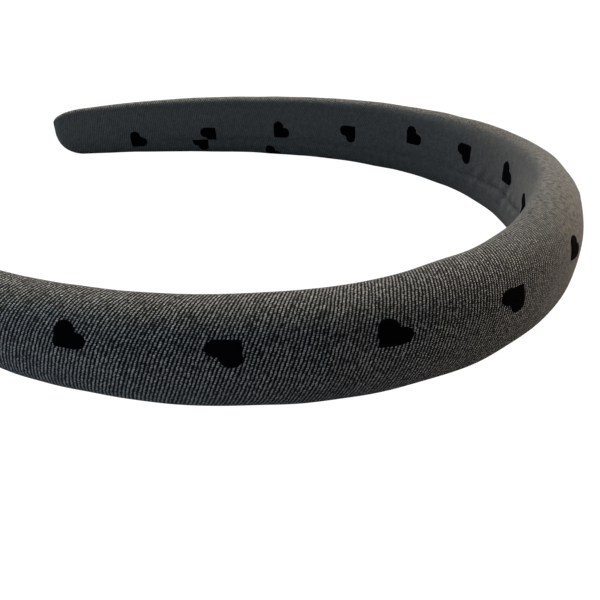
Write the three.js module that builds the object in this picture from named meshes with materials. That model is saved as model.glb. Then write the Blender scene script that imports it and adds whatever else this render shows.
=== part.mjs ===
// Padded heart headband, lying on its side on a table.
// A sprung hoop is padded and wrapped in dark twill cloth, wide at the crown and narrow at its two ends.
// Small flocked hearts stand a little proud of the cloth in rows, each turned end for end from the last.
// Millimetres, +Z up. The origin is on the table, under the middle of the hoop's box. The crown is at +X.

import * as THREE from "three";
import { LoftGeometry } from "three/addons/geometries/LoftGeometry.js";

// Length of the hoop's middle line, from the crown to each end
const HALF_LENGTH = 192.5;

// Sizes of the hoop by share of that length: bend radius of the middle line, width of the band,
// and depth of the padding outside and inside the middle line. Both arms are alike.
const STATIONS = [
  { share: 0.0, bend: 58.0, width: 24.4, outer: 8.4, inner: 3.7 },
  { share: 0.15, bend: 57.3, width: 21.6, outer: 8.5, inner: 3.7 },
  { share: 0.32, bend: 70.1, width: 19.9, outer: 8.5, inner: 3.7 },
  { share: 0.55, bend: 108.0, width: 19.0, outer: 8.5, inner: 3.6 },
  { share: 0.8, bend: 183.0, width: 17.3, outer: 7.1, inner: 3.3 },
  { share: 1.0, bend: 140.0, width: 14.3, outer: 4.0, inner: 2.5 },
];

// Fullness of the section's two faces: 2 is an ellipse, and more is squarer
const OUTER_FULLNESS = 2.2;
const INNER_FULLNESS = 3.4;

// Rounding of each end: length along the band and depth of its upper corner, its lower corner
// and its two faces, and the least height and depth that are left at the very end
const END_TOP = { length: 10.0, depth: 3.6 };
const END_BOTTOM = { length: 8.0, depth: 7.2 };
const END_FACE = { length: 3.0, depth: 3.0 };
const END_LEAST_HEIGHT = 0.8;
const END_LEAST_DEPTH = 0.3;

// Seam along the inner face, where the two edges of the cloth meet: its drop below the face's middle,
// its size, and the most of the lower half of a section that it takes. It runs out before each end.
const SEAM_DROP_AT_CROWN = 1.8;
const SEAM_DROP_AT_END = 5.0;
const SEAM_HALF_WIDTH = 0.8;
const SEAM_DEPTH = 0.4;
const SEAM_LOWEST_SHARE = 0.5;
const SEAM_WIDEST_SHARE = 0.1;
const SEAM_RUN_OUT = 22;

// How it lies: the crown is wider than the arms, so the hoop leans until both touch the table,
// and the padding is pressed flat where it rests
const LEAN = THREE.MathUtils.degToRad(1.703);
const PRESSED_FLAT = 0.35;

// One heart: two round lobes and a right-angled point, the height of its middle, and the raised flock
const LOBE_RADIUS = 1.55;
const LOBE_SPREAD = 1.35;
const POINT_DEPTH = 3.5;
const HEART_MIDDLE = -0.46;
const FLOCK_GAP = 0.25;
const FLOCK_THICKNESS = 0.35;

// Clearance of a heart's cut from the seam, and the rise at which a heart is cut that goes on
// under the hoop, where the cloth lies on the table
const SEAM_CUT_CLEARANCE = 0.3;
const TABLE_CUT_RISE = -8.9;

// Stretch of the hearts on each face: the cloth is pulled along the outside of the hoop,
// so the hearts there are longer along the band and narrower across it
const OUTER_STRETCH = { along: 1.21, across: 0.925 };
const INNER_STRETCH = { along: 1.07, across: 1.07 };

// The cloth is cut on the bias, so each heart points up to the right or down to the left of its face
const POINTING_UP = THREE.MathUtils.degToRad(135);
const POINTING_DOWN = POINTING_UP - Math.PI;

// Rows of the print. Each heart has its length along the band from the crown and its rise from the middle
// of its face. The hearts of a row point up and down in turn. One that is cut keeps its part above
// or below the seam, or clear of the table. Where the cloth twists over the crown a heart is turned
// by some degrees more.
const HEART_ROWS = [
  {
    name: "heart_outer",
    face: "outer",
    stretch: OUTER_STRETCH,
    firstTurn: POINTING_UP,
    hearts: [
      { along: -174.0, rise: 3.2 },
      { along: -151.5, rise: 4.6 },
      { along: -128.5, rise: 5.4 },
      { along: -105.6, rise: 5.6 },
      { along: -81.3, rise: 4.85 },
      { along: -57.3, rise: 5.1 },
      { along: -35.7, rise: 4.35, turned: -5 },
      { along: -15.0, rise: 4.65, turned: -18 },
      { along: 8.5, rise: 5.0 },
      { along: 31.5, rise: 5.0 },
      { along: 54.5, rise: 5.0 },
      { along: 77.5, rise: 5.0 },
      { along: 100.5, rise: 5.0 },
      { along: 123.5, rise: 4.8 },
      { along: 146.5, rise: 4.4 },
      { along: 169.5, rise: 3.6 },
    ],
  },
  {
    name: "heart_inner",
    face: "inner",
    stretch: INNER_STRETCH,
    firstTurn: POINTING_DOWN,
    hearts: [
      { along: -155.5, rise: 1.4 },
      { along: -132.0, rise: 1.6 },
      { along: -108.5, rise: 1.8 },
      { along: -85.0, rise: 2.0 },
      { along: -61.5, rise: 2.4 },
      { along: -38.0, rise: 2.8 },
      { along: -15.0, rise: 3.0 },
      { along: 6.9, rise: 2.4, turned: -20 },
      { along: 25.0, rise: 3.7, turned: 2 },
      { along: 46.6, rise: 3.0 },
      { along: 67.5, rise: 2.9 },
      { along: 91.1, rise: 0.55 },
      { along: 115.4, rise: -0.5 },
      { along: 140.6, rise: -2.1, keeps: "above" },
      { along: 165.5, rise: -3.35 },
    ],
  },
  {
    name: "heart_lower",
    face: "inner",
    stretch: INNER_STRETCH,
    firstTurn: POINTING_DOWN,
    hearts: [
      { along: -131.0, rise: -5.8 },
      { along: -107.0, rise: -6.4 },
      { along: 118.9, rise: -8.6, keeps: "clear" },
      { along: 143.7, rise: -4.9, keeps: "below" },
    ],
  },
];

// Fineness of the solids, and the turns round the section at which its rim has points, in degrees:
// 0 is the middle of the outer face, 90 the top edge and 180 the middle of the inner face
const BODY_STEPS = 60;
const END_STEPS = 8;
const SPINE_STEPS = 1200;
const RIM_STEPS = 160;
const LOBE_STEPS = 6;
const RING_SHARES = [0, 0.5, 1];
const TURN_STEP = 0.001;
const UPPER_TURNS = [180, 155, 132, 115, 100, 90, 80, 68, 54, 38, 20, 0];
const LOWER_TURNS = [-20, -38, -54, -68, -80, -90, -100, -115, -132, -155];

// A size of the hoop at a share of its half length: a cubic through the stations, level at the crown
function sizeAt(share, size) {
  const last = STATIONS.length - 1;
  const slopeAt = (i) => {
    if (i === 0) return 0;
    const before = STATIONS[i - 1];
    const after = STATIONS[Math.min(i + 1, last)];
    return (size(after) - size(before)) / (after.share - before.share);
  };
  let i = 0;
  while (i < last - 1 && STATIONS[i + 1].share <= share) i++;
  const from = STATIONS[i];
  const to = STATIONS[i + 1];
  const span = to.share - from.share;
  const q = (share - from.share) / span;
  const leaving = (1 + 2 * q) * size(from) + q * span * slopeAt(i);
  const arriving = (3 - 2 * q) * size(to) + (q - 1) * span * slopeAt(i + 1);
  return (1 - q) ** 2 * leaving + q ** 2 * arriving;
}

// Places along one arm's middle line, added up in short steps that turn with the bend
function traceSpine() {
  const step = HALF_LENGTH / SPINE_STEPS;
  const places = [{ x: 0, y: 0, heading: 0 }];
  for (let k = 0; k < SPINE_STEPS; k++) {
    const { x, y, heading } = places[k];
    const turn = step * sizeAt((k + 0.5) / SPINE_STEPS, (row) => 1 / row.bend);
    const halfway = heading + turn / 2;
    places.push({
      x: x - step * Math.sin(halfway),
      y: y + step * Math.cos(halfway),
      heading: heading + turn,
    });
  }
  return places;
}

const spine = traceSpine();

// How much a corner of an end has drawn in at a distance from the end
function drawnIn(rounding, fromEnd) {
  const q = THREE.MathUtils.clamp(1 - fromEnd / rounding.length, 0, 1);
  return rounding.depth * (1 - Math.sqrt(1 - q ** 2));
}

// The band's section at a length from the crown: its place, its heading, and its four reaches
// from the middle line
function sectionAt(along) {
  const arm = Math.sign(along);
  const share = Math.min(Math.abs(along) / HALF_LENGTH, 1);
  const fromEnd = HALF_LENGTH * (1 - share);
  const at = share * SPINE_STEPS;
  const before = Math.min(Math.floor(at), SPINE_STEPS - 1);
  const part = at - before;
  const between = (key) => THREE.MathUtils.lerp(spine[before][key], spine[before + 1][key], part);
  const halfWidth = sizeAt(share, (row) => row.width) / 2;
  const faceRounding = drawnIn(END_FACE, fromEnd);
  const bottom = Math.max(halfWidth - drawnIn(END_BOTTOM, fromEnd), END_LEAST_HEIGHT);
  const drop = THREE.MathUtils.lerp(SEAM_DROP_AT_CROWN, SEAM_DROP_AT_END, share);
  return {
    x: between("x"),
    y: arm * between("y"),
    heading: arm * between("heading"),
    curvature: sizeAt(share, (row) => 1 / row.bend),
    top: Math.max(halfWidth - drawnIn(END_TOP, fromEnd), END_LEAST_HEIGHT),
    bottom,
    outer: Math.max(sizeAt(share, (row) => row.outer) - faceRounding, END_LEAST_DEPTH),
    inner: Math.max(sizeAt(share, (row) => row.inner) - faceRounding, END_LEAST_DEPTH),
    seamDrop: Math.min(drop, SEAM_LOWEST_SHARE * bottom),
    seamHalfWidth: Math.min(SEAM_HALF_WIDTH, SEAM_WIDEST_SHARE * bottom),
    seamDepth: SEAM_DEPTH * THREE.MathUtils.smoothstep(fromEnd, SEAM_RUN_OUT, 2 * SEAM_RUN_OUT),
  };
}

// A point of the section's rim at a turn: x is outwards from the middle line and y is up.
// Each quarter is a superellipse between two of the reaches.
function rimPoint(section, turn) {
  const out = Math.cos(turn);
  const up = Math.sin(turn);
  const power = 2 / (out >= 0 ? OUTER_FULLNESS : INNER_FULLNESS);
  const depth = out >= 0 ? section.outer : -section.inner;
  const height = up >= 0 ? section.top : -section.bottom;
  return new THREE.Vector2(depth * Math.abs(out) ** power, height * Math.abs(up) ** power);
}

// Turn of the inner face's rim at a height below its middle, from the same superellipse
function turnBelowInnerMiddle(section, below) {
  return Math.asin((below / section.bottom) ** (INNER_FULLNESS / 2)) - Math.PI;
}

// A section's point in space, before the hoop leans
function inSpace(section, point) {
  return new THREE.Vector3(
    section.x + point.x * Math.cos(section.heading),
    section.y + point.x * Math.sin(section.heading),
    point.y,
  );
}

// The closed rim of a section, with the seam pressed in as a groove of three points
function rimOf(section) {
  const plain = (degrees) => rimPoint(section, THREE.MathUtils.degToRad(degrees));
  const seam = [1, 0, -1].map((side) => {
    const below = section.seamDrop + side * section.seamHalfWidth;
    const point = rimPoint(section, turnBelowInnerMiddle(section, below));
    if (side === 0) point.x += section.seamDepth;
    return point;
  });
  const rim = [...UPPER_TURNS.map(plain), ...LOWER_TURNS.map(plain), ...seam];
  return rim.map((point) => inSpace(section, point));
}

// Lengths at which the band has sections: even steps along the body, and closer ones round each end
function sectionLengths() {
  const body = HALF_LENGTH - END_TOP.length;
  const end = Array.from({ length: END_STEPS }, (_, k) => {
    const swing = ((k + 1) / END_STEPS) * (Math.PI / 2);
    return body + END_TOP.length * Math.sin(swing);
  });
  const even = Array.from({ length: BODY_STEPS + 1 }, (_, k) => body * ((2 * k) / BODY_STEPS - 1));
  return [...end.map((length) => -length).reverse(), ...even, ...end];
}

function leaned(point) {
  return point.clone().applyAxisAngle(new THREE.Vector3(0, 1, 0), -LEAN);
}

const rims = sectionLengths().map((along) => rimOf(sectionAt(along)).map(leaned));
const hoopBox = new THREE.Box3().setFromPoints(rims.flat());
const tableUnder = new THREE.Vector3(
  (hoopBox.min.x + hoopBox.max.x) / 2,
  0,
  hoopBox.min.z + PRESSED_FLAT,
);

// Sets a leaned point on the table, and presses flat what would be below it
function laid(point) {
  const placed = point.clone().sub(tableUnder);
  placed.z = Math.max(placed.z, 0);
  return placed;
}

function paddedBand() {
  const sections = rims.map((rim) => rim.map(laid));
  return new LoftGeometry(sections, { capStart: true, capEnd: true });
}

// Outline of an upright heart about its middle, anticlockwise from the notch:
// round the left lobe, along its tangent to the point, and up the right one
function heartOutline() {
  const notchTurn = Math.acos(LOBE_SPREAD / LOBE_RADIUS);
  const toPoint = Math.atan2(-POINT_DEPTH, -LOBE_SPREAD);
  const sideTurn = toPoint + Math.acos(LOBE_RADIUS / Math.hypot(LOBE_SPREAD, POINT_DEPTH));
  const right = Array.from({ length: LOBE_STEPS + 1 }, (_, k) => {
    const turn = THREE.MathUtils.lerp(Math.PI - notchTurn, sideTurn, k / LOBE_STEPS);
    return new THREE.Vector2(
      LOBE_SPREAD + LOBE_RADIUS * Math.cos(turn),
      LOBE_RADIUS * Math.sin(turn) - HEART_MIDDLE,
    );
  });
  const point = new THREE.Vector2(0, -POINT_DEPTH - HEART_MIDDLE);
  right.push(right[LOBE_STEPS].clone().lerp(point, 0.5));
  const left = right.slice(1).map((corner) => new THREE.Vector2(-corner.x, corner.y));
  return [right[0], ...left, point, ...right.slice(1).reverse()];
}

// Turn at which the rim has risen by an arc length from the middle of a face
function turnAtRise(section, face, rise) {
  const start = face === "outer" ? 0 : Math.PI;
  const way = face === "outer" ? Math.sign(rise) : -Math.sign(rise);
  let turn = start;
  let travelled = 0;
  for (let k = 1; k <= RIM_STEPS; k++) {
    const next = start + way * Math.PI * (k / RIM_STEPS) ** 2;
    const step = rimPoint(section, turn).distanceTo(rimPoint(section, next));
    if (travelled + step >= Math.abs(rise)) {
      return THREE.MathUtils.lerp(turn, next, (Math.abs(rise) - travelled) / step);
    }
    travelled += step;
    turn = next;
  }
  return turn;
}

// A point that stands off the cloth, at a distance to the right of a heart's middle
// and at a rise on its face
function overCloth(row, heart, right, rise, lift) {
  const middle = sectionAt(heart.along);
  const reach = row.face === "outer" ? middle.outer : -middle.inner;
  const way = row.face === "outer" ? 1 : -1;
  const section = sectionAt(heart.along + (way * right) / (1 + reach * middle.curvature));
  const turn = turnAtRise(section, row.face, rise);
  const forward = rimPoint(section, turn + TURN_STEP).sub(rimPoint(section, turn - TURN_STEP));
  const outwards = new THREE.Vector2(forward.y, -forward.x).normalize();
  const point = rimPoint(section, turn).addScaledVector(outwards, lift);
  return laid(leaned(inSpace(section, point)));
}

// Rise at which a heart is cut
function cutOf(heart) {
  const { seamDrop } = sectionAt(heart.along);
  const cuts = {
    above: SEAM_CUT_CLEARANCE - seamDrop,
    below: -SEAM_CUT_CLEARANCE - seamDrop,
    clear: TABLE_CUT_RISE,
  };
  return cuts[heart.keeps];
}

// A heart as a loft that starts at the middle of its underside, goes out to its rim and up,
// and closes on top. What is beyond a cut is drawn back towards the middle, as far as the cut.
function flockedHeart(row, heart, turn) {
  const cut = cutOf(heart);
  const rim = heartOutline().map((corner) => {
    const place = corner.rotateAround(new THREE.Vector2(), turn);
    place.x *= row.stretch.along;
    place.y *= row.stretch.across;
    if (heart.keeps) place.divideScalar(Math.max(place.y / (cut - heart.rise), 1));
    place.y += heart.rise;
    return place;
  });
  const middle = rim.reduce((sum, place) => sum.add(place), new THREE.Vector2()).divideScalar(rim.length);
  const ringAt = (share, lift) =>
    rim.map((place) => {
      const { x, y } = middle.clone().lerp(place, share);
      return overCloth(row, heart, x, y, lift);
    });
  const under = RING_SHARES.map((share) => ringAt(share, FLOCK_GAP));
  const over = RING_SHARES.map((share) => ringAt(share, FLOCK_GAP + FLOCK_THICKNESS));
  return new LoftGeometry([...under, ...over.reverse()]);
}

const headband = new THREE.Group();
const twill = new THREE.MeshStandardMaterial({ color: 0x3b3a39, roughness: 0.95, metalness: 0 });
const band = new THREE.Mesh(paddedBand(), twill);
band.name = "padded_band";
headband.add(band);

for (const row of HEART_ROWS) {
  row.hearts.forEach((heart, k) => {
    const flock = new THREE.MeshStandardMaterial({ color: 0x08080a, roughness: 1, metalness: 0 });
    const turn = row.firstTurn - k * Math.PI + THREE.MathUtils.degToRad(heart.turned ?? 0);
    const mesh = new THREE.Mesh(flockedHeart(row, heart, turn), flock);
    mesh.name = `${row.name}_${String(k + 1).padStart(2, "0")}`;
    headband.add(mesh);
  });
}

export default headband;
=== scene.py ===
import bpy
import numpy as np
from mathutils import Matrix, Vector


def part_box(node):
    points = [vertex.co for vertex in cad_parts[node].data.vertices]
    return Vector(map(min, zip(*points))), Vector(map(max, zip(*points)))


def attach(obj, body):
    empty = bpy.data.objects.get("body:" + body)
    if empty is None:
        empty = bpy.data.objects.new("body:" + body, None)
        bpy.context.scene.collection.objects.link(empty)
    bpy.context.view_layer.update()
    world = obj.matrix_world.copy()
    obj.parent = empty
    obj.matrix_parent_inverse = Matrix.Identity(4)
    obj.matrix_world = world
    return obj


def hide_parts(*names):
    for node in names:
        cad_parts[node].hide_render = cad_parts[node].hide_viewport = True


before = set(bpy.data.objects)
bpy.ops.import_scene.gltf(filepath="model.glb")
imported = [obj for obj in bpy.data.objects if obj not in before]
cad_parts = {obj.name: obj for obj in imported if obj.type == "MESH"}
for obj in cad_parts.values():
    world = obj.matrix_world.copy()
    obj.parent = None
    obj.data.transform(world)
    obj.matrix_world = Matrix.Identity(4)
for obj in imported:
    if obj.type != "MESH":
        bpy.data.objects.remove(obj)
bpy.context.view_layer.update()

# Padded band
# A sprung hoop, padded with foam and wrapped in dark grey twill: wide at the crown, narrow at its two ends.
# The cover is one strip of cloth cut on the bias, pulled tight round the padding and glued.
# Its two edges meet in a seam along the inner face, just below the middle.

half_length = 192.5
# Share of the half length, bend radius of the middle line, width, and padding outside and inside that line
stations = np.array(
    [
        (0.00, 58.0, 24.4, 8.4, 3.7),
        (0.15, 57.3, 21.6, 8.5, 3.7),
        (0.32, 70.1, 19.9, 8.5, 3.7),
        (0.55, 108.0, 19.0, 8.5, 3.6),
        (0.80, 183.0, 17.3, 7.1, 3.3),
        (1.00, 140.0, 14.3, 4.0, 2.5),
    ]
)
outer_fullness, inner_fullness = 2.2, 3.4
# Length and depth of the rounding of an end's upper corner, lower corner and faces
end_top, end_bottom, end_face = (10.0, 3.6), (8.0, 7.2), (3.0, 3.0)
end_least_height, end_least_depth = 0.8, 0.3
seam_drop_at_crown, seam_drop_at_end = 1.8, 5.0
seam_lowest_share = 0.5
seam_depth, seam_roll, seam_roll_power, seam_run_out = 0.6, 0.65, 1.3, 22.0
seam_wander, wander_lengths, wander_starts = 0.4, (41, 23, 13), (0.4, 2.0, 4.1)
pucker_depth, pucker_lengths, pucker_starts = 0.35, (9.7, 6.1, 4.3), (1.0, 3.3, 5.2)
pucker_reach, pucker_slant_above, pucker_slant_below = 3.2, 0.8, -0.5
pucker_least, pucker_crown_reach = 0.3, 55.0
strip_swell, strip_swell_at, strip_swell_width = 0.22, 1.7, 1.1
lean = np.radians(1.703)
pressed_flat, press_softness = 0.35, 0.06


def station_size(share, values):
    """A size at shares of the half length: a cubic through the stations, level at the crown, whose slope at
    every later station is that of the line between the stations on its two sides."""
    rows = stations[:, 0]
    slope = np.empty_like(values)
    slope[0] = 0
    slope[1:-1] = (values[2:] - values[:-2]) / (rows[2:] - rows[:-2])
    slope[-1] = (values[-1] - values[-2]) / (rows[-1] - rows[-2])
    i = np.clip(np.searchsorted(rows, share, side="right") - 1, 0, len(rows) - 2)
    span = rows[i + 1] - rows[i]
    q = (share - rows[i]) / span
    leaving = (1 + 2 * q) * values[i] + q * span * slope[i]
    arriving = (3 - 2 * q) * values[i + 1] + (q - 1) * span * slope[i + 1]
    return (1 - q) ** 2 * leaving + q**2 * arriving


def eased(share):
    """A share from 0 to 1 made to start and end level: three times its square, less twice its cube."""
    return share**2 * (3 - 2 * share)


def running_area(values, step):
    """Area under evenly spaced values, up to each of them, by trapezoids."""
    return np.append(0, np.cumsum((values[1:] + values[:-1]) / 2)) * step


spine_count = 1201
spine_lengths = np.linspace(0, half_length, spine_count)
spine_step = spine_lengths[1]
spine_bend = station_size(spine_lengths / half_length, 1 / stations[:, 1])
spine_heading = running_area(spine_bend, spine_step)
spine_x = running_area(-np.sin(spine_heading), spine_step)
spine_y = running_area(np.cos(spine_heading), spine_step)
spine_outer = station_size(spine_lengths / half_length, stations[:, 3])
# Cloth to a length of surface: it is pulled out a little along the arms, and gathered a little at the crown
mean_pull, pull_swing = 1.01, 0.12
spine_pull = mean_pull + pull_swing * np.cos(np.pi * spine_lengths / half_length)
spine_cloth = running_area((1 + spine_outer * spine_bend) * spine_pull, spine_step)


def cloth_length(along):
    """Length of cloth from the crown: the middle line's, longer over the outer padding and where it is
    gathered."""
    return np.sign(along) * np.interp(np.abs(along), spine_lengths, spine_cloth)


def drawn_in(rounding, from_end):
    """How far a rounded corner of an end has drawn in: an ellipse's drop at a distance from the end."""
    length, depth = rounding
    q = np.clip(1 - from_end / length, 0, 1)
    return depth * (1 - np.sqrt(1 - q**2))


def section_sizes(along):
    """Reaches of the section at lengths from the crown: above, below, outside and inside the middle line.
    Each is the station size, less what the rounding of the end takes off."""
    share = np.abs(along) / half_length
    from_end = half_length - np.abs(along)
    half_width = station_size(share, stations[:, 2]) / 2
    face = drawn_in(end_face, from_end)
    top = np.maximum(half_width - drawn_in(end_top, from_end), end_least_height)
    bottom = np.maximum(half_width - drawn_in(end_bottom, from_end), end_least_height)
    outer = np.maximum(station_size(share, stations[:, 3]) - face, end_least_depth)
    inner = np.maximum(station_size(share, stations[:, 4]) - face, end_least_depth)
    return top, bottom, outer, inner


# Turns round a section, from below the inner face's middle right round and past it, closest at each
# quarter, where the superellipse runs fastest. 0 is the middle of the outer face and a quarter turn is
# the top edge.
quarter_count = 120
quarter_steps = np.linspace(0, 1, quarter_count + 1)[:-1]
rim_turns = np.append((np.arange(-3, 3)[:, None] + eased(quarter_steps)).ravel(), 3) * np.pi / 2
outer_middle, inner_middle = 3 * quarter_count, 5 * quarter_count


def section_rims(along):
    """Rim of the section at each length, one row each: arc length from the outer face's middle, distance
    out from the middle line, and height. Every quarter is a superellipse between two of the section's
    reaches."""
    top, bottom, outer, inner = (size[:, None] for size in section_sizes(along))
    out, up = np.cos(rim_turns), np.sin(rim_turns)
    power = 2 / np.where(out >= 0, outer_fullness, inner_fullness)
    depth = np.where(out >= 0, outer, -inner) * np.abs(out) ** power
    height = np.where(up >= 0, top, -bottom) * np.abs(up) ** power
    steps = np.hypot(np.diff(depth, axis=1), np.diff(height, axis=1))
    arc = np.concatenate([np.zeros((len(along), 1)), np.cumsum(steps, axis=1)], axis=1)
    return arc - arc[:, [outer_middle]], depth, height


def read_rows(at, keys, values):
    """Linear reading of a table in which every row has keys of its own, as one reading of all rows end to
    end."""
    longer_than_a_row = 1000
    apart = longer_than_a_row * np.arange(len(keys))[:, None]
    return np.interp((at + apart).ravel(), (keys + apart).ravel(), values.ravel()).reshape(at.shape)


unevenness, uneven_run_out = 0.07, 8.0
wave_count, shortest_wave, longest_wave = 36, 7.0, 34.0
wave_seeds = np.random.default_rng(11)
wave_ways = wave_seeds.normal(size=(3, wave_count))
wave_lengths = wave_seeds.uniform(shortest_wave, longest_wave, wave_count)
wave_ways *= 2 * np.pi / (np.linalg.norm(wave_ways, axis=0) * wave_lengths)
wave_starts = wave_seeds.uniform(0, 2 * np.pi, wave_count)


def cover(along, around, lift):
    """Points of the cover at lengths from the crown (one a row) and arc lengths round the section from the
    middle of the outer face: the rim's point, carried to its place on the hoop's middle line, and moved
    along the section's outward normal by the lift and by the slight unevenness of the padding, a sum of
    long waves that dies out at the ends."""
    arc, depth, height = section_rims(along)
    short = 0.1
    ahead = [read_rows(around + short, arc, table) for table in (depth, height)]
    behind = [read_rows(around - short, arc, table) for table in (depth, height)]
    run, rise = ahead[0] - behind[0], ahead[1] - behind[1]
    size = np.hypot(run, rise)
    out_depth, out_height = rise / size, -run / size
    depth, height = read_rows(around, arc, depth), read_rows(around, arc, height)
    arm = np.sign(along)[:, None]
    heading = arm * np.interp(np.abs(along), spine_lengths, spine_heading)[:, None]
    x = np.interp(np.abs(along), spine_lengths, spine_x)[:, None]
    y = arm * np.interp(np.abs(along), spine_lengths, spine_y)[:, None]
    place = np.stack([x + depth * np.cos(heading), y + depth * np.sin(heading), height], -1)
    waves = np.sin(place @ wave_ways + wave_starts).sum(-1) * unevenness * np.sqrt(2 / wave_count)
    uneven = np.clip((half_length - np.abs(along)) / uneven_run_out, 0, 1)[:, None]
    move = (lift + waves * uneven)[..., None]
    outward = np.stack([out_depth * np.cos(heading), out_depth * np.sin(heading), out_height], -1)
    place = place + move * outward
    leant_x = place[..., 0] * np.cos(lean) - place[..., 2] * np.sin(lean)
    leant_z = place[..., 0] * np.sin(lean) + place[..., 2] * np.cos(lean)
    return np.stack([leant_x, place[..., 1], leant_z], -1)


def ripple(along, lengths, starts):
    """Mean of sines along the hoop, so from -1 to 1, of these wave lengths in millimetres."""
    turns = np.asarray(along)[..., None] / np.array(lengths)
    return np.sin(2 * np.pi * turns + np.array(starts)).mean(-1)


def seam_drop(along):
    """Drop of the seam below the middle of the inner face: it grows evenly from the crown to the ends,
    wanders a little as a seam glued by hand does, and keeps off the lower edge."""
    share = np.abs(along) / half_length
    drop = seam_drop_at_crown + (seam_drop_at_end - seam_drop_at_crown) * share
    drop = drop + seam_wander * ripple(along, wander_lengths, wander_starts)
    return np.minimum(drop, seam_lowest_share * section_sizes(along)[1])


def seam_ends(along):
    """Arc lengths at which the cover ends at the seam, coming from below and coming over the top."""
    bottom = section_sizes(along)[1]
    turn = np.arcsin((seam_drop(along) / bottom) ** (inner_fullness / 2))
    arc = section_rims(along)[0]
    turns = np.broadcast_to(rim_turns, arc.shape)
    return read_rows(turn[:, None] - np.pi, turns, arc), read_rows(turn[:, None] + np.pi, turns, arc)


def seam_lift(along, around):
    """Lift of the cloth by the seam: it rolls in from both sides by a bell-shaped drop, the strip below
    swells a little over its turned edge by another, and shallow puckers cross it on both sides, deepest
    round the crown where the cloth is gathered. All die out towards the ends of the hoop."""
    below, above = seam_ends(along)
    past = np.mod(around - below, above - below)
    near = np.minimum(past, above - below - past)
    along = along[:, None]
    run_out = np.clip((half_length - np.abs(along)) / seam_run_out - 1, 0, 1)
    roll = -seam_depth * np.exp(-((near / seam_roll) ** seam_roll_power))
    swell = strip_swell * np.exp(-(((past - strip_swell_at) / strip_swell_width) ** 2))
    gathered = pucker_least + (1 - pucker_least) * np.exp(-((along / pucker_crown_reach) ** 2))
    leant = along + np.where(near < past, pucker_slant_above, pucker_slant_below) * near
    pucker = pucker_depth * gathered * ripple(leant, pucker_lengths, pucker_starts)
    pucker = pucker * np.exp(-((near / pucker_reach) ** 2))
    return eased(run_out) * (roll + swell + pucker)


# Lengths and shares round the section at which the cover has points: closer round the ends and by the seam
body_count, end_count = 365, 32
face_count, seam_count, seam_share = 96, 12, 0.045
end_swing = np.linspace(0, np.pi / 2, end_count + 1)[1:]
body_lengths = np.linspace(0, half_length - end_top[0], body_count)
arm_lengths = np.append(body_lengths, half_length - end_top[0] * (1 - np.sin(end_swing)))
band_along = np.concatenate([-arm_lengths[:0:-1], arm_lengths])
seam_side = np.linspace(0, 1, seam_count + 1)[:-1] * seam_share
face_side = np.linspace(seam_share, 1 - seam_share, face_count)
band_shares = np.concatenate([seam_side, face_side, 1 - seam_side[::-1]])

seam_below, seam_above = seam_ends(band_along)
band_around = seam_below + (seam_above - seam_below) * band_shares
band_points = cover(band_along, band_around, seam_lift(band_along, band_around))

# The hoop is set where its solid is, and the padding that would be below the table is pressed flat
solid_low, solid_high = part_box("padded_band")
band_flat = band_points.reshape(-1, 3)
to_table = np.array(
    [
        1000 * (solid_low[0] + solid_high[0]) / 2 - (band_flat[:, 0].min() + band_flat[:, 0].max()) / 2,
        0,
        -band_flat[:, 2].min() - pressed_flat,
    ]
)


def on_table(points):
    """Points in metres where the hoop lies: heights become the smooth greater of themselves and nothing."""
    placed = points + to_table
    placed[..., 2] = (placed[..., 2] + np.sqrt(placed[..., 2] ** 2 + 4 * press_softness**2)) / 2
    return placed / 1000


def grid_corners(rows, columns):
    """Row and column of the four corners of every cell of a grid, anticlockwise, one cell a line."""
    row, column = (index.ravel() for index in np.mgrid[: rows - 1, : columns - 1])
    return np.stack([row, row + 1, row + 1, row], 1), np.stack([column, column, column + 1, column + 1], 1)


rows, columns = band_around.shape
round_count = columns - 1
corner_row, corner_column = grid_corners(rows, columns)
quads = corner_row * round_count + corner_column % round_count
first = np.arange(round_count)
second = (first + 1) % round_count
poles = rows * round_count + np.arange(2)
start_cap = np.stack([first, second, np.full(round_count, poles[0])], 1)
end_cap = np.stack([second, first, np.full(round_count, poles[1] - (rows - 1) * round_count)], 1)
end_cap = end_cap + (rows - 1) * round_count
band_vertices = on_table(band_points[:, :-1]).reshape(-1, 3)
end_middles = band_vertices.reshape(rows, round_count, 3)[[0, -1]].mean(1)
band_mesh = bpy.data.meshes.new("padded_band_cover")
band_mesh.from_pydata(
    np.concatenate([band_vertices, end_middles]).tolist(),
    [],
    quads.tolist() + start_cap.tolist() + end_cap.tolist(),
)
band_mesh.polygons.foreach_set("use_smooth", np.ones(len(band_mesh.polygons), dtype=bool))

# How far the yarns have closed up, from 0 to 1: on the inner face, where the cloth is slack, on the top
# and bottom edges of a tight bend, at the tip of each end, and some way over the whole crown, where it is
# gathered. The weave shows less there, and the cloth there is painted darker: painted shade of yarns that
# lie in each other's shade. Where it is gathered outside the inner face, it is speckled as well, and
# painted lighter on average: painted light on the crown.
band_arc, band_depth, _ = section_rims(band_along)
band_depth = read_rows(band_around, band_arc, band_depth)
_, _, outer_reach, inner_reach = (size[:, None] for size in section_sizes(band_along))
band_bend = station_size(np.abs(band_along) / half_length, 1 / stations[:, 1])[:, None]
shortened = 1 - (1 + band_depth * band_bend) / (1 + outer_reach * band_bend)
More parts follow.
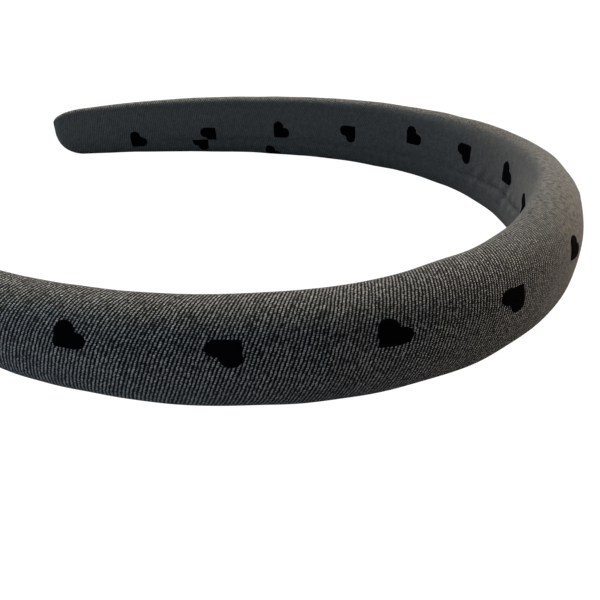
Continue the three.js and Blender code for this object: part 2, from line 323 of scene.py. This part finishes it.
# Where each of the four starts and the range over which it grows: shares, then lengths in millimetres
bend_start, bend_range = 0.11, 0.06
face_start, face_range = 0.25, 0.5
crown_start, crown_range, crown_closed_and_shaded = 42.0, 30.0, 0.9
tip_start, tip_range = 2.5, 2.0
by_bend = eased(np.clip((shortened - bend_start) / bend_range, 0, 1))
by_face = np.clip((-band_depth / inner_reach - face_start) / face_range, 0, 1)
by_crown = eased(np.clip((crown_start - np.abs(band_along)) / crown_range, 0, 1))[:, None]
by_tip = np.clip((tip_start - half_length + np.abs(band_along)) / tip_range, 0, 1)[:, None]
closed_and_shaded_mask = np.maximum(by_bend, eased(by_face))
closed_and_shaded_mask = np.maximum(closed_and_shaded_mask, np.maximum(crown_closed_and_shaded * by_crown, by_tip))
# This mask also carries painted light: the material paints the crown outside the inner face lighter.
gathered = by_crown * (1 - by_face)
for name, mask, at_ends in (("ClosedAndShaded", closed_and_shaded_mask, 1), ("GatheredAndLit", gathered, 0)):
    layer = band_mesh.attributes.new(name, "FLOAT", "POINT")
    layer.data.foreach_set("value", np.append(mask[:, :-1], [at_ends, at_ends]).astype(np.float32))

# Cloth map, in millimetres along and round the strip. On the arms the cloth is pulled a little askew, and
# where an end is rounded it goes on over the surface, which is longer than the middle line.
askew_start, askew_range, askew_slope = 92.0, 40.0, 0.12
askew = eased(np.clip((np.abs(band_along) - askew_start) / askew_range, 0, 1))[:, None]
cloth_u = cloth_length(band_along)[:, None] + askew_slope * askew * band_around
longer = np.linalg.norm(np.diff(band_points, axis=0), axis=2) - np.diff(band_along)[:, None]
longer[end_count:-end_count] = 0
longer = np.cumsum(np.maximum(longer, 0), axis=0)
longer = np.concatenate([np.zeros((1, columns)), longer])
cloth_u = cloth_u + longer - longer[rows // 2]
cloth_map = np.stack([cloth_u, band_around], -1)
map_loops = [cloth_map[corner_row, corner_column].reshape(-1, 2)]
# The fans of the two end caps, in the order of their faces' corners, meet at the mean of their rims
for row, order in ((0, (0, 1)), (rows - 1, (1, 0))):
    pair = np.stack([cloth_map[row, :-1], cloth_map[row, 1:]], 1)[:, order]
    cap_middle = np.broadcast_to(cloth_map[row].mean(0), (round_count, 1, 2))
    map_loops.append(np.concatenate([pair, cap_middle], 1).reshape(-1, 2))
layer = band_mesh.uv_layers.new(name="Cloth")
layer.data.foreach_set("uv", np.concatenate(map_loops).ravel().astype(np.float32))


def join(tree, value, socket):
    """Sets a socket: a number is typed in and another node's output is linked."""
    if isinstance(value, bpy.types.NodeSocket):
        tree.links.new(value, socket)
    else:
        socket.default_value = value


def math_of(tree, operation, *values):
    """Output of a Math node with these inputs."""
    node = tree.nodes.new("ShaderNodeMath")
    node.operation = operation
    for value, socket in zip(values, node.inputs, strict=False):
        join(tree, value, socket)
    return node.outputs[0]


def ranged(tree, value, low, high):
    """Output of a Map Range node that goes smoothly from 0 at low to 1 at high."""
    node = tree.nodes.new("ShaderNodeMapRange")
    node.interpolation_type = "SMOOTHSTEP"
    for socket, entry in zip(("Value", "From Min", "From Max"), (value, low, high), strict=True):
        join(tree, entry, node.inputs[socket])
    return node.outputs["Result"]


def noise(tree, place, scale, detail):
    """Value of a flat noise on the cloth, from 0 to 1, at a scale in waves to the millimetre."""
    node = tree.nodes.new("ShaderNodeTexNoise")
    node.noise_dimensions = "2D"
    node.inputs["Scale"].default_value = scale
    node.inputs["Detail"].default_value = detail
    join(tree, place, node.inputs["Vector"])
    return node.outputs["Fac"]


def at_random(tree, first, second):
    """A random value from 0 to 1 for each pair of whole numbers."""
    pair = tree.nodes.new("ShaderNodeCombineXYZ")
    join(tree, first, pair.inputs[0])
    join(tree, second, pair.inputs[1])
    node = tree.nodes.new("ShaderNodeTexWhiteNoise")
    node.noise_dimensions = "2D"
    tree.links.new(pair.outputs[0], node.inputs["Vector"])
    return node.outputs["Value"]


# Twill: slanted ribs with dark gaps. Each rib is a row of short floats of yarn, uneven in tone and width.
# The cloth's place is in millimetres, and so are the pitch of the ribs, that of the floats and the sway.
slow_scale, quick_scale, slow_share = 0.16, 1.6, 5.0
float_stagger, stagger_seed, rib_stray = 0.6, 7.0, 0.2
beads_to_a_float, bead_share = 2.0, 0.75
thin_rib, rib_thickening, float_dip_depth = 0.21, 0.12, 3.4
gap_height, crest_height = 0.12, 0.9
twill = bpy.data.node_groups.new("twill weave", "ShaderNodeTree")
for socket_name, socket_type in (
    ("Cloth", "NodeSocketVector"),
    ("Rib Pitch", "NodeSocketFloat"),
    ("Rib Angle", "NodeSocketFloat"),
    ("Float Pitch", "NodeSocketFloat"),
    ("Sway", "NodeSocketFloat"),
):
    twill.interface.new_socket(socket_name, in_out="INPUT", socket_type=socket_type)
for socket_name in ("Height", "Yarn", "Tone"):
    twill.interface.new_socket(socket_name, in_out="OUTPUT", socket_type="NodeSocketFloat")
entry = twill.nodes.new("NodeGroupInput").outputs
split = twill.nodes.new("ShaderNodeSeparateXYZ")
twill.links.new(entry["Cloth"], split.inputs[0])
u, v = split.outputs[0], split.outputs[1]
sine, cosine = math_of(twill, "SINE", entry["Rib Angle"]), math_of(twill, "COSINE", entry["Rib Angle"])
slow = math_of(twill, "SUBTRACT", noise(twill, entry["Cloth"], slow_scale, 1.0), 0.5)
quick = math_of(twill, "SUBTRACT", noise(twill, entry["Cloth"], quick_scale, 1.0), 0.5)
sway = math_of(twill, "MULTIPLY", math_of(twill, "MULTIPLY_ADD", slow, slow_share, quick), entry["Sway"])
across = math_of(twill, "MULTIPLY_ADD", u, sine, sway)
across = math_of(twill, "SUBTRACT", across, math_of(twill, "MULTIPLY", v, cosine))
rib = math_of(twill, "DIVIDE", across, entry["Rib Pitch"])
rib_number = math_of(twill, "FLOOR", rib)
float_place = math_of(twill, "DIVIDE", math_of(twill, "ADD", v, sway), entry["Float Pitch"])
rib_start = at_random(twill, rib_number, stagger_seed)
float_place = math_of(twill, "MULTIPLY_ADD", rib_start, float_stagger, float_place)
float_number = math_of(twill, "FLOOR", float_place)
float_side = math_of(twill, "SUBTRACT", math_of(twill, "FRACT", float_place), 0.5)
rib_side = at_random(twill, float_number, rib_number)
rib_side = math_of(twill, "MULTIPLY_ADD", rib_side, rib_stray, -0.5 - rib_stray / 2)
rib_side = math_of(twill, "ADD", math_of(twill, "FRACT", rib), rib_side)
bead_number = math_of(twill, "FLOOR", math_of(twill, "MULTIPLY", float_place, beads_to_a_float))
tone = math_of(twill, "MULTIPLY", at_random(twill, bead_number, rib_number), bead_share)
float_tone = at_random(twill, rib_number, float_number)
tone = math_of(twill, "MULTIPLY_ADD", float_tone, 1 - bead_share, tone)
thickness = math_of(twill, "MULTIPLY_ADD", tone, rib_thickening, thin_rib)
rib_share = math_of(twill, "POWER", math_of(twill, "DIVIDE", rib_side, thickness), 2.0)
rib_round = math_of(twill, "MAXIMUM", math_of(twill, "SUBTRACT", 1.0, rib_share), 0.0)
rib_round = math_of(twill, "SQRT", rib_round)
float_dip = math_of(twill, "MULTIPLY", math_of(twill, "MULTIPLY", float_side, float_side), float_dip_depth)
weave_height = math_of(twill, "MULTIPLY", rib_round, math_of(twill, "SUBTRACT", 1.0, float_dip))
leave = twill.nodes.new("NodeGroupOutput").inputs
twill.links.new(weave_height, leave["Height"])
twill.links.new(ranged(twill, weave_height, gap_height, crest_height), leave["Yarn"])
twill.links.new(tone, leave["Tone"])


def new_material(name):
    """A material with a Principled shader; returns it with its node tree and that shader."""
    material = bpy.data.materials.new(name)
    material.use_nodes = True
    return material, material.node_tree, material.node_tree.nodes["Principled BSDF"]


def woven(tree, pitch, angle, length, sway):
    """The twill group in a material, reading the piece's cloth map; returns its outputs and the map."""
    cloth = tree.nodes.new("ShaderNodeUVMap")
    cloth.uv_map = "Cloth"
    node = tree.nodes.new("ShaderNodeGroup")
    node.node_tree = twill
    tree.links.new(cloth.outputs[0], node.inputs["Cloth"])
    for socket, value in zip(list(node.inputs)[1:], (pitch, angle, length, sway), strict=True):
        socket.default_value = value
    return node.outputs, cloth.outputs[0]


def mixed(tree, share, low, high):
    """A colour that goes from low to high with the share, and on past them. The Mix node has sockets of one
    name for each kind of data, so those for colours go by number."""
    colour_a, colour_b, colour_result = 6, 7, 2
    node = tree.nodes.new("ShaderNodeMix")
    node.data_type = "RGBA"
    node.clamp_factor = False
    join(tree, share, node.inputs["Factor"])
    join(tree, low, node.inputs[colour_a])
    join(tree, high, node.inputs[colour_b])
    return node.outputs[colour_result]


rib_pitch, rib_angle, float_pitch, yarn_sway = 0.655, np.radians(67.6), 0.347, 0.09
# The near black of the gaps is painted shade between the ribs, which the bump does not cast.
gap_painted_shade = (0.0015, 0.0015, 0.002, 1)
yarn_dark, yarn_bright = (0.04, 0.04, 0.04, 1), (0.65, 0.65, 0.64, 1)
# The closed-up colours are darker than the open weave on average: painted shade of yarns lying in each
# other's shade.
closed_shaded_dark, closed_shaded_bright = (0.06, 0.06, 0.061, 1), (0.12, 0.12, 0.119, 1)
most_closed_and_shaded, mottle_scale, mottle_detail = 0.85, 0.55, 4.0
fibre_scale, fibre_detail, fibre_height = 9.0, 2.0, 0.25
# The last number lifts the colour over the gathered crown: painted light.
speckle_scale, speckle_strength, crown_painted_light = 1.0, 4.1, 0.4

cover_twill, tree, shader = new_material("cover_twill")
weave, cloth_place = woven(tree, rib_pitch, rib_angle, float_pitch, yarn_sway)
yarn = mixed(tree, weave["Tone"], yarn_dark, yarn_bright)
closed_and_shaded_node = tree.nodes.new("ShaderNodeAttribute")
closed_and_shaded_node.attribute_name = "ClosedAndShaded"
gathered_and_lit_node = tree.nodes.new("ShaderNodeAttribute")
gathered_and_lit_node.attribute_name = "GatheredAndLit"
# Where the yarns have closed up, the weave gives way to a darker mottle: painted shade.
closed_and_shaded = math_of(tree, "MULTIPLY", closed_and_shaded_node.outputs["Fac"], most_closed_and_shaded)
open_weave = mixed(tree, weave["Yarn"], gap_painted_shade, yarn)
speckle_and_painted_light = noise(tree, cloth_place, speckle_scale, 1.0)
# The speckle's mean is lifted there: painted light on the crown outside the inner face.
speckle_and_painted_light = math_of(tree, "MULTIPLY_ADD", speckle_and_painted_light, speckle_strength, crown_painted_light - speckle_strength / 2)
mottle_and_crown_light = noise(tree, cloth_place, mottle_scale, mottle_detail)
mottle_and_crown_light = math_of(tree, "MULTIPLY_ADD", speckle_and_painted_light, gathered_and_lit_node.outputs["Fac"], mottle_and_crown_light)
closed_shaded_weave = mixed(tree, mottle_and_crown_light, closed_shaded_dark, closed_shaded_bright)
tree.links.new(mixed(tree, closed_and_shaded, open_weave, closed_shaded_weave), shader.inputs["Base Color"])
fibres = noise(tree, cloth_place, fibre_scale, fibre_detail)
fibres = math_of(tree, "MULTIPLY_ADD", fibres, fibre_height, weave["Height"])
fibres = math_of(tree, "MULTIPLY", fibres, math_of(tree, "SUBTRACT", 1.0, closed_and_shaded))
bump = tree.nodes.new("ShaderNodeBump")
bump.inputs["Strength"].default_value = 0.8
bump.inputs["Distance"].default_value = 0.00018
tree.links.new(fibres, bump.inputs["Height"])
tree.links.new(bump.outputs[0], shader.inputs["Normal"])
shader.inputs["Roughness"].default_value = 0.85
shader.inputs["Specular IOR Level"].default_value = 0.08
shader.inputs["Sheen Weight"].default_value = 0.15
shader.inputs["Sheen Roughness"].default_value = 0.45
shader.inputs["Sheen Tint"].default_value = (0.85, 0.84, 0.82, 1)

band = bpy.data.objects.new("padded_band_cover", band_mesh)
bpy.context.collection.objects.link(band)
band_mesh.materials.append(cover_twill)
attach(band, "root")
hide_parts("padded_band")

# Flocked hearts
# Small hearts of black flock, printed on the cloth in rows before it was cut: short fibres stood up in
# glue, so each is a soft-edged pad a little proud of the twill. They point up and down in turn along a
# row. One that the seam cuts is in two parts, whose halves have slipped along the seam.

lobe_radius, lobe_spread, point_depth, heart_middle = 1.55, 1.35, 3.5, -0.46
outer_stretch, inner_stretch = (1.21, 0.925), (1.07, 1.07)
flock_height, flock_edge, flock_sunk = 0.2, 0.14, 0.12
pile_power, pile_unevenness = 0.9, 0.05
outline_fuzz, fuzz_average = 0.035, (0.25, 0.5, 0.25)
lobe_count, corner_rounding = 80, 0.3
seam_cut_clearance, table_cut_rise = 0.12, -8.9
pointing_up, pointing_down = np.radians(135), np.radians(-45)
# Name, face, turn of the first heart, and each heart's length along from the crown, rise, part kept of a
# cut (above or below the seam, or clear of the table), and degrees that it is turned further, where the
# cloth twists over the crown
heart_rows = [
    (
        "heart_outer",
        "outer",
        pointing_up,
        [
            (-174.0, 3.2, "", 0),
            (-151.5, 4.6, "", 0),
            (-128.5, 5.4, "", 0),
            (-105.6, 5.6, "", 0),
            (-81.3, 4.85, "", 0),
            (-57.3, 5.1, "", 0),
            (-35.7, 4.35, "", -5),
            (-15.0, 4.65, "", -18),
            (8.5, 5.0, "", 0),
            (31.5, 5.0, "", 0),
            (54.5, 5.0, "", 0),
            (77.5, 5.0, "", 0),
            (100.5, 5.0, "", 0),
            (123.5, 4.8, "", 0),
            (146.5, 4.4, "", 0),
            (169.5, 3.6, "", 0),
        ],
    ),
    (
        "heart_inner",
        "inner",
        pointing_down,
        [
            (-155.5, 1.4, "", 0),
            (-132.0, 1.6, "", 0),
            (-108.5, 1.8, "", 0),
            (-85.0, 2.0, "", 0),
            (-61.5, 2.4, "", 0),
            (-38.0, 2.8, "", 0),
            (-15.0, 3.0, "", 0),
            (6.9, 2.4, "", -20),
            (25.0, 3.7, "", 2),
            (46.6, 3.0, "", 0),
            (67.5, 2.9, "", 0),
            (91.1, 0.55, "", 0),
            (115.4, -0.5, "", 0),
            (140.6, -2.1, "above", 0),
            (165.5, -3.35, "", 0),
        ],
    ),
    (
        "heart_lower",
        "inner",
        pointing_down,
        [
            (-131.0, -5.8, "", 0),
            (-107.0, -6.4, "", 0),
            (118.9, -8.6, "clear", 0),
            (143.7, -4.9, "below", 0),
        ],
    ),
]
outline_count = 128
ring_shares = np.array([0, 0.2, 0.4, 0.55, 0.68, 0.78, 0.85, 0.9, 0.94, 0.965, 0.985, 1.0])
under_shares = np.array([0.96, 0.6, 0])


def heart_outline():
    """An upright heart about its middle, anticlockwise from the notch: an arc round each lobe and its
    tangent to the point. It is resampled at even steps, and its corners are rounded by a narrow bell-shaped
    average."""
    notch_turn = np.arccos(lobe_spread / lobe_radius)
    to_point = np.arctan2(-point_depth, -lobe_spread)
    side_turn = to_point + np.arccos(lobe_radius / np.hypot(lobe_spread, point_depth))
    turn = np.linspace(np.pi - notch_turn, side_turn, lobe_count)
    right = np.stack([lobe_spread + lobe_radius * np.cos(turn), lobe_radius * np.sin(turn)], 1)
    corners = np.concatenate([right * (-1, 1), [(0, -point_depth)], right[::-1]]) - (0, heart_middle)
    travelled = np.append(0, np.cumsum(np.hypot(*np.diff(corners, axis=0).T)))
    even = np.arange(outline_count) / outline_count * travelled[-1]
    outline = np.interp(even, travelled, corners[:, 0]) + 1j * np.interp(even, travelled, corners[:, 1])
    waves = np.fft.fftfreq(outline_count, travelled[-1] / outline_count)
    return np.fft.ifft(np.fft.fft(outline) * np.exp(-2 * (np.pi * waves * corner_rounding) ** 2))


upright_heart = heart_outline()
fibre_seeds = np.random.default_rng(5)


def flocked_heart(face, along, rise, keeps, turn):
    """Points and cloth map of one heart: rings that shrink from its outline to its middle. A ring's lift
    over the cloth rises with its distance from the edge and levels off; the underside is sunk in the weave.
    What is beyond a cut is drawn back towards the middle, as far as the cut."""
    outline = upright_heart * np.exp(1j * turn)
    stretch_along, stretch_across = outer_stretch if face == "outer" else inner_stretch
    outline = outline.real * stretch_along + 1j * outline.imag * stretch_across
    fuzz = np.convolve(np.tile(fibre_seeds.normal(size=outline_count), 3), fuzz_average, "same")
    fuzz = outline_fuzz * fuzz[outline_count : 2 * outline_count]
    outline = outline + fuzz * outline / np.abs(outline)
    if keeps:
        aside = {"above": seam_cut_clearance, "below": -seam_cut_clearance}
        cut = table_cut_rise if keeps == "clear" else aside[keeps] - seam_drop(np.array([along]))[0]
        outline = outline / np.maximum(outline.imag / (cut - rise), 1)
    outline = outline + 1j * rise
    middle = outline.mean()
    shares = np.concatenate([ring_shares, under_shares])
    ring = middle + shares[:, None] * (outline - middle)
    inset = (1 - ring_shares[:, None]) * np.abs(outline - middle)
    pile = 1 - np.exp(-((inset / flock_edge) ** pile_power))
    pile = pile * (1 + pile_unevenness * fibre_seeds.normal(size=pile.shape))
    pile[0] = pile[0].mean()
    lift = np.concatenate([flock_height * pile, np.full((len(under_shares), outline_count), -flock_sunk)])
    bend = station_size(np.array([abs(along) / half_length]), 1 / stations[:, 1])
    outer, inner = section_sizes(np.array([along]))[2:]
    way, reach = (1, outer) if face == "outer" else (-1, -inner)
    lengths = (along + way * ring.real / (1 + reach * bend)).ravel()
    around = ring.imag.ravel()[:, None]
    if face == "inner":
        around = section_rims(lengths)[0][:, [inner_middle]] - around
    points = on_table(cover(lengths, around, lift.ravel()[:, None] + seam_lift(lengths, around))[:, 0])
    cloth = np.stack([cloth_length(lengths), around[:, 0]], 1)
    return points.reshape(*ring.shape, 3), cloth.reshape(*ring.shape, 2)


flock_black, flock_worn = (0.0008, 0.001, 0.0017, 1), (0.0026, 0.003, 0.0044, 1)
flock_scale, flock_detail, flock_weave = 7.0, 3.0, 0.35
worn_from, worn_to = 0.35, 0.8

heart_flock, tree, shader = new_material("heart_flock")
weave, cloth_place = woven(tree, rib_pitch, rib_angle, float_pitch, yarn_sway)
fibres = noise(tree, cloth_place, flock_scale, flock_detail)
worn = ranged(tree, fibres, worn_from, worn_to)
tree.links.new(mixed(tree, worn, flock_black, flock_worn), shader.inputs["Base Color"])
bump = tree.nodes.new("ShaderNodeBump")
bump.inputs["Strength"].default_value = 0.7
bump.inputs["Distance"].default_value = 0.0001
tree.links.new(math_of(tree, "MULTIPLY_ADD", weave["Height"], flock_weave, fibres), bump.inputs["Height"])
tree.links.new(bump.outputs[0], shader.inputs["Normal"])
shader.inputs["Roughness"].default_value = 1.0
shader.inputs["Specular IOR Level"].default_value = 0.01
shader.inputs["Sheen Weight"].default_value = 0.005
shader.inputs["Sheen Roughness"].default_value = 0.6

heart_rings = len(ring_shares) + len(under_shares)
corner_row, corner_column = grid_corners(heart_rings, outline_count + 1)
inner_rows = (corner_row.min(1) > 0) & (corner_row.max(1) < heart_rings - 1)
ring_quads = 1 + (corner_row - 1) * outline_count + corner_column % outline_count
first = 1 + np.arange(outline_count)
second = 1 + (np.arange(outline_count) + 1) % outline_count
last = (heart_rings - 3) * outline_count
top_fan = np.stack([first, second, np.zeros(outline_count, dtype=int)], 1)
under_fan = np.stack([second + last, first + last, np.full(outline_count, 1 + last + outline_count)], 1)
heart_parts = (ring_quads[inner_rows], top_fan, under_fan)
heart_faces = [face for part in heart_parts for face in part.tolist()]
heart_loops = np.concatenate([part.ravel() for part in heart_parts])

for row_name, face, first_turn, hearts in heart_rows:
    for number, (along, rise, keeps, turned) in enumerate(hearts):
        turn = first_turn - number * np.pi + np.radians(turned)
        points, cloth = flocked_heart(face, along, rise, keeps, turn)
        rim = slice(1, heart_rings - 1)
        vertices = np.concatenate([points[0, :1], points[rim].reshape(-1, 3), points[-1, :1]])
        places = np.concatenate([cloth[0, :1], cloth[rim].reshape(-1, 2), cloth[-1, :1]])
        mesh = bpy.data.meshes.new(f"{row_name}_{number + 1:02d}_flock")
        mesh.from_pydata(vertices.tolist(), [], heart_faces)
        mesh.polygons.foreach_set("use_smooth", np.ones(len(mesh.polygons), dtype=bool))
        layer = mesh.uv_layers.new(name="Cloth")
        layer.data.foreach_set("uv", places[heart_loops].ravel().astype(np.float32))
        mesh.materials.append(heart_flock)
        heart = bpy.data.objects.new(mesh.name, mesh)
        bpy.context.collection.objects.link(heart)
        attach(heart, "root")
        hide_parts(f"{row_name}_{number + 1:02d}")

# Floor and light
# A plain white table in a white studio: broad, warm lights about a metre away, overhead, behind and at the
# sides, and two small, cool ones close by in front, so faint that faces turned to the camera stay dark.
# The camera sees table and studio as plain white, and the light that they give is much less.

floor_reach = 3
floor_corners = floor_reach * np.array([(-1, -1, 0), (1, -1, 0), (1, 1, 0), (-1, 1, 0)])
floor_mesh = bpy.data.meshes.new("floor")
floor_mesh.from_pydata(floor_corners.tolist(), [], [(0, 1, 2, 3)])
floor = bpy.data.objects.new("floor", floor_mesh)
bpy.context.collection.objects.link(floor)
floor_white, tree, shader = new_material("floor_white")
shader.inputs["Base Color"].default_value = (0.36, 0.36, 0.36, 1)
shader.inputs["Roughness"].default_value = 1.0
seen = tree.nodes.new("ShaderNodeLightPath").outputs["Is Camera Ray"]
glow = tree.nodes.new("ShaderNodeEmission")
glow.inputs["Strength"].default_value = 1.05
either = tree.nodes.new("ShaderNodeMixShader")
tree.links.new(seen, either.inputs[0])
tree.links.new(shader.outputs[0], either.inputs[1])
tree.links.new(glow.outputs[0], either.inputs[2])
tree.links.new(either.outputs[0], tree.nodes["Material Output"].inputs["Surface"])
floor_mesh.materials.append(floor_white)


def soft_light(name, place, aim, size, power, colour):
    """A square area light at a place, turned to face its aim."""
    data = bpy.data.lights.new(name, "AREA")
    data.shape = "SQUARE"
    data.size = size
    data.energy = power
    data.color = colour
    light = bpy.data.objects.new(name, data)
    light.location = place
    away = np.array(place) - np.array(aim)
    tip = np.arctan2(np.hypot(away[0], away[1]), away[2])
    light.rotation_euler = (tip, 0, np.arctan2(away[0], -away[1]))
    bpy.context.collection.objects.link(light)


light_aim = (0, 0, 0.01)
for name, place, size, power, colour in (
    ("over and behind", (-0.31, 0.53, 0.79), 0.5, 7.9, (0.989, 1, 0.896)),
    ("right and behind", (0.44, 0.76, 0.47), 0.5, 8.2, (1, 0.829, 0.663)),
    ("right", (0.85, 0.49, 0.17), 0.5, 4.7, (1, 0.899, 0.757)),
    ("left and behind", (-0.76, 0.44, 0.47), 0.5, 2.61, (1, 0.895, 0.851)),
    ("before", (-0.1, -0.3, 0.06), 0.2, 0.284, (0.864, 0.912, 1)),
    ("left and before", (-0.25, -0.3, 0.15), 0.2, 0.22, (0.207, 0.654, 1)),
):
    soft_light(name, place, light_aim, size, power, colour)
studio_seen, studio_light = 1.2, 0.004
world = bpy.data.worlds.new("studio")
world.use_nodes = True
surround = world.node_tree.nodes["Background"]
surround.inputs["Color"].default_value = (0.88, 0.95, 1, 1)
seen = world.node_tree.nodes.new("ShaderNodeLightPath").outputs["Is Camera Ray"]
surround_strength = math_of(world.node_tree, "MULTIPLY_ADD", seen, studio_seen, studio_light)
world.node_tree.links.new(surround_strength, surround.inputs["Strength"])
bpy.context.scene.world = world
bpy.context.scene.view_settings.view_transform = "Standard"

# Camera
# Close to the near arm and above it, as the photograph was taken. Its focal share is the focal length over
# the picture's width.

camera_place = np.array([63.16, -136.65, 74.08]) / 1000
yaw, pitch, roll = np.radians([-18.3786, -32.2384, -0.5018])
sensor_width, focal_share = 36, 639.44 / 600
forward = np.array([np.sin(yaw) * np.cos(pitch), np.cos(yaw) * np.cos(pitch), np.sin(pitch)])
level_right = np.array([np.cos(yaw), -np.sin(yaw), 0])
level_up = np.cross(level_right, forward)
right = level_right * np.cos(roll) + level_up * np.sin(roll)
upward = level_up * np.cos(roll) - level_right * np.sin(roll)
camera_data = bpy.data.cameras.new("camera")
camera_data.sensor_width = sensor_width
camera_data.lens = sensor_width * focal_share
camera_data.clip_start = 0.005
camera = bpy.data.objects.new("camera", camera_data)
camera.location = camera_place
camera.rotation_euler = Matrix(np.stack([right, upward, -forward], 1)).to_euler()
bpy.context.collection.objects.link(camera)
bpy.context.scene.camera = camera

bpy.context.view_layer.update()
